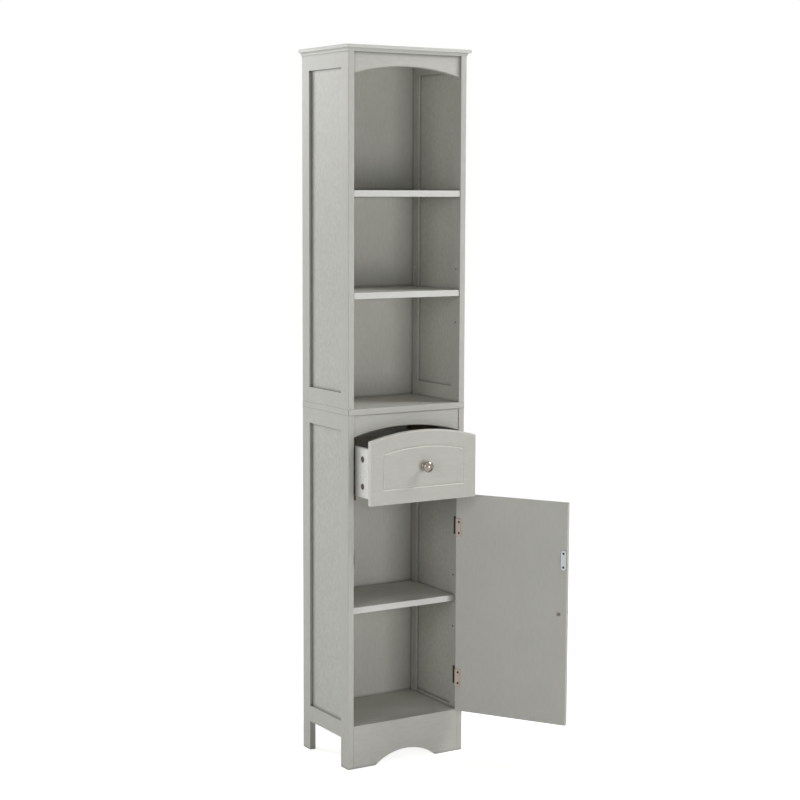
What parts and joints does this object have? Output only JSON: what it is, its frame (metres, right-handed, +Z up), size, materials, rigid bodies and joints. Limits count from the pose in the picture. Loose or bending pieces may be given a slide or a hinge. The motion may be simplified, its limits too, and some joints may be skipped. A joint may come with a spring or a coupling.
{
  "type": "tall bathroom cabinet",
  "caption": "Tall narrow painted cabinet: open shelved rack above, an arched drawer and a hinged door with an adjustable shelf below, and an arched apron between its legs.",
  "frame": {"origin": "On the floor, in the middle of the body's rectangular footprint.", "axes": "+X to the cabinet's right as its user faces it, +Y to its back, +Z up."},
  "size_m": [0.479, 0.4788, 1.7],
  "materials": {
    "painted_upright": "painted board, eggshell, faint upright grain",
    "painted_lengthwise": "painted board, eggshell, faint grain along its length",
    "painted_crosswise": "painted board, eggshell, faint grain front to back",
    "painted_back": "painted thin board, eggshell",
    "painted_panel": "painted thin board, eggshell",
    "painted_drawer": "painted board with a routed groove, eggshell",
    "painted_door": "painted board with a routed groove, eggshell",
    "drawer_white": "board with an off-white foil face, eggshell",
    "bare_beech": "bare beech dowel",
    "bare_board": "bare softwood",
    "zinc_plate": "zinc-plated steel",
    "zinc_cast": "die-cast zinc, matte",
    "nickel_pin": "nickel-plated steel",
    "hinge_nickel": "warm nickel-plated steel, satin",
    "satin_nickel": "satin nickel",
    "bright_plate": "bright zinc-plated steel",
    "catch_plastic": "off-white moulded plastic",
    "magnet_dark": "dark sintered magnet"
  },
  "bodies": {
    "cabinet": {"bottom_board": "painted_lengthwise", "cam_bolts": "zinc_plate", "cam_locks": "zinc_cast", "catch_case": "catch_plastic", "catch_magnet": "magnet_dark", "drawer_kickers": "bare_board", "drawer_runners": "bare_board", "fixed_shelf": "painted_lengthwise", "frame_dowels": "bare_beech", "frame_screws": "zinc_plate", "front_apron": "painted_lengthwise", "hinge_frame_leaves": "hinge_nickel", "hinge_pins": "hinge_nickel", "lower_adjustable_shelf": "painted_lengthwise", "lower_back_panel": "painted_back", "lower_left_back_stile": "painted_upright", "lower_left_bottom_rail": "painted_crosswise", "lower_left_front_stile": "painted_upright", "lower_left_side_panel": "painted_panel", "lower_left_top_rail": "painted_crosswise", "lower_right_back_stile": "painted_upright", "lower_right_bottom_rail": "painted_crosswise", "lower_right_front_stile": "painted_upright", "lower_right_side_panel": "painted_panel", "lower_right_top_rail": "painted_crosswise", "lower_valance": "painted_lengthwise", "mid_board": "painted_lengthwise", "mid_board_screws": "zinc_plate", "shelf_pins": "nickel_pin", "top_board": "painted_lengthwise", "upper_adjustable_shelf": "painted_lengthwise", "upper_back_panel": "painted_back", "upper_left_back_stile": "painted_upright", "upper_left_bottom_rail": "painted_crosswise", "upper_left_front_stile": "painted_upright", "upper_left_side_panel": "painted_panel", "upper_left_top_rail": "painted_crosswise", "upper_right_back_stile": "painted_upright", "upper_right_bottom_rail": "painted_crosswise", "upper_right_front_stile": "painted_upright", "upper_right_side_panel": "painted_panel", "upper_right_top_rail": "painted_crosswise", "upper_valance": "painted_lengthwise", "wall_bracket": "zinc_plate"},
    "drawer": {"drawer_back": "drawer_white", "drawer_back_screws": "zinc_plate", "drawer_bottom": "drawer_white", "drawer_cam_bolts": "zinc_plate", "drawer_cam_locks": "zinc_cast", "drawer_front": "painted_drawer", "drawer_knob": "satin_nickel", "drawer_knob_screw": "zinc_plate", "drawer_left_side": "drawer_white", "drawer_right_side": "drawer_white"},
    "door": {"door_knob": "satin_nickel", "door_knob_screw": "zinc_plate", "door_panel": "painted_door", "door_screws": "zinc_plate", "hinge_door_leaves": "hinge_nickel", "strike_plate": "bright_plate"}
  },
  "joints": [
    {"name": "drawer_slide", "type": "slide", "parent": "cabinet", "child": "drawer", "axis": [0, -1, 0], "range_m": [-0.078, 0.062]},
    {"name": "door_hinge", "type": "hinge", "parent": "cabinet", "child": "door", "pos_m": [0.14475, -0.1142, 0.3745], "axis": [0, 0, 1], "range_deg": [-122, 53]}
  ]
}
